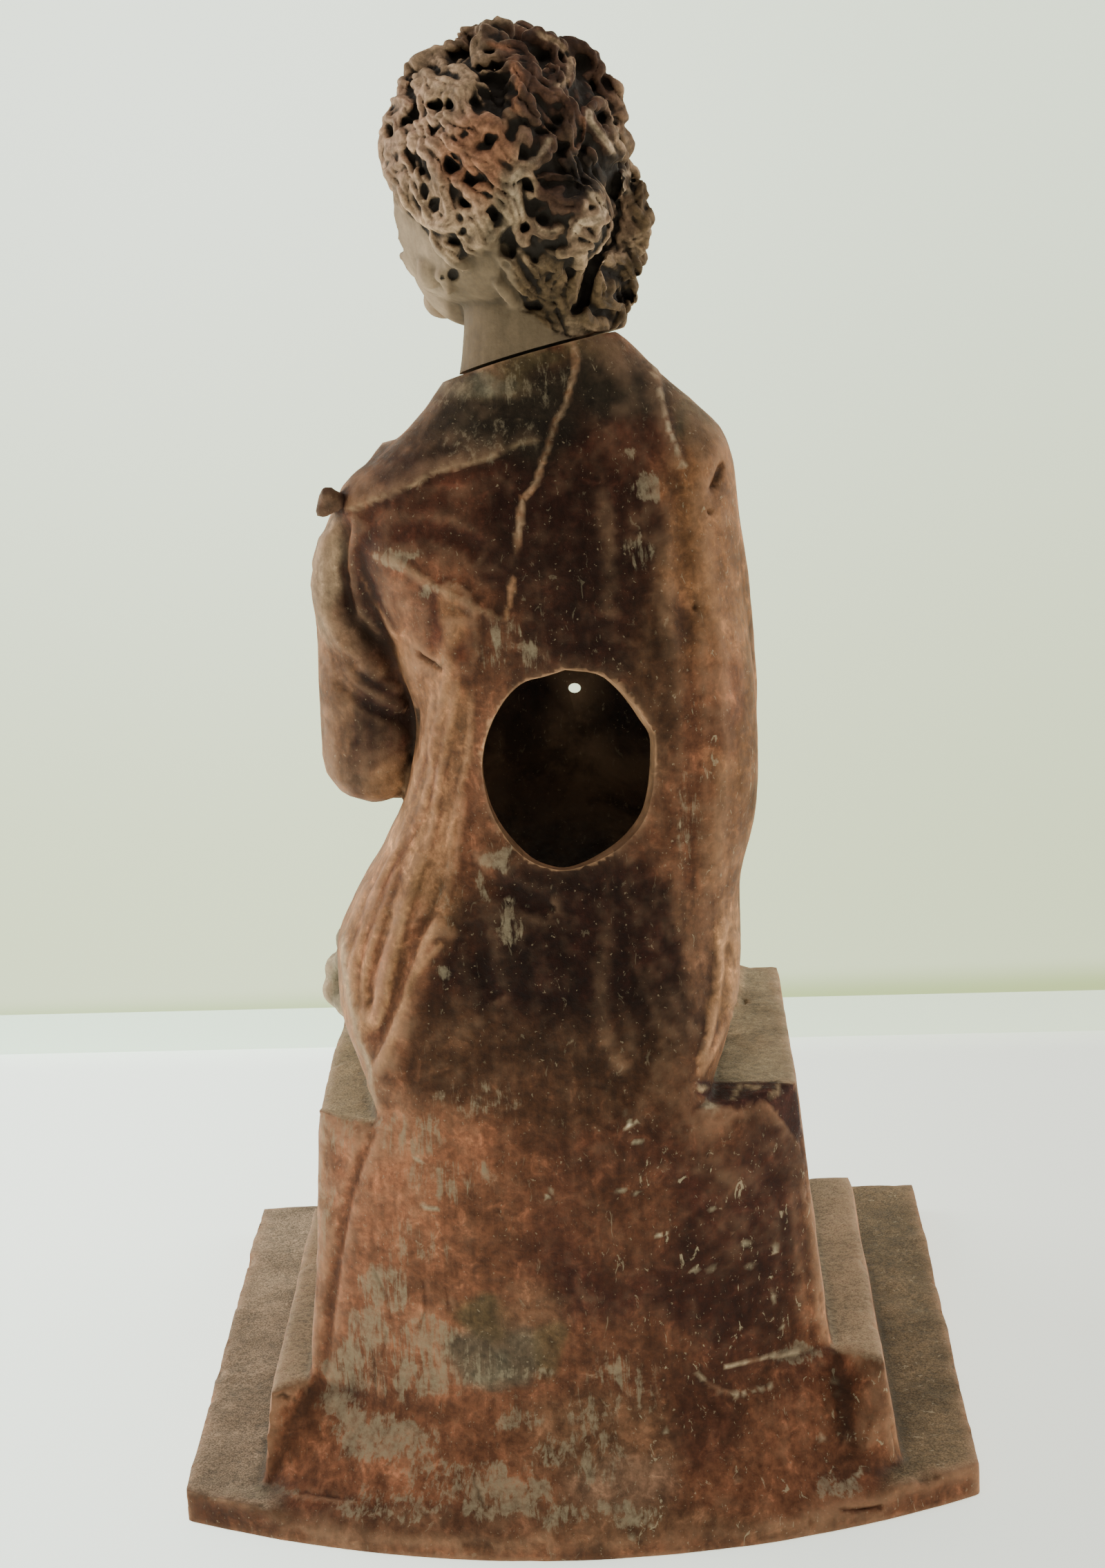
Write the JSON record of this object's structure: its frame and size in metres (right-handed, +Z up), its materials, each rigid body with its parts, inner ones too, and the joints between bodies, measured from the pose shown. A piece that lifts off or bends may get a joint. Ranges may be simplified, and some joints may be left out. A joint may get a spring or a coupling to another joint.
{
  "type": "seated terracotta figure",
  "caption": "Hollow terracotta figure of a draped woman seated on a block, on a stepped plinth slab, with a round vent in the smooth back.",
  "frame": {"origin": "centre of the underside of the plinth slab", "axes": "+Z up from slab to crown, the figure faces -Y and its left hand is towards +X"},
  "size_m": [0.15, 0.149, 0.2724],
  "materials": {
    "red_clay": "matte fired red clay, hand smoothed, with pale deposits and dark stains",
    "buff_clay": "matte fired buff clay with dark recesses in the hair"
  },
  "bodies": {
    "root": {"body": "red_clay", "head": "buff_clay"}
  },
  "joints": []
}
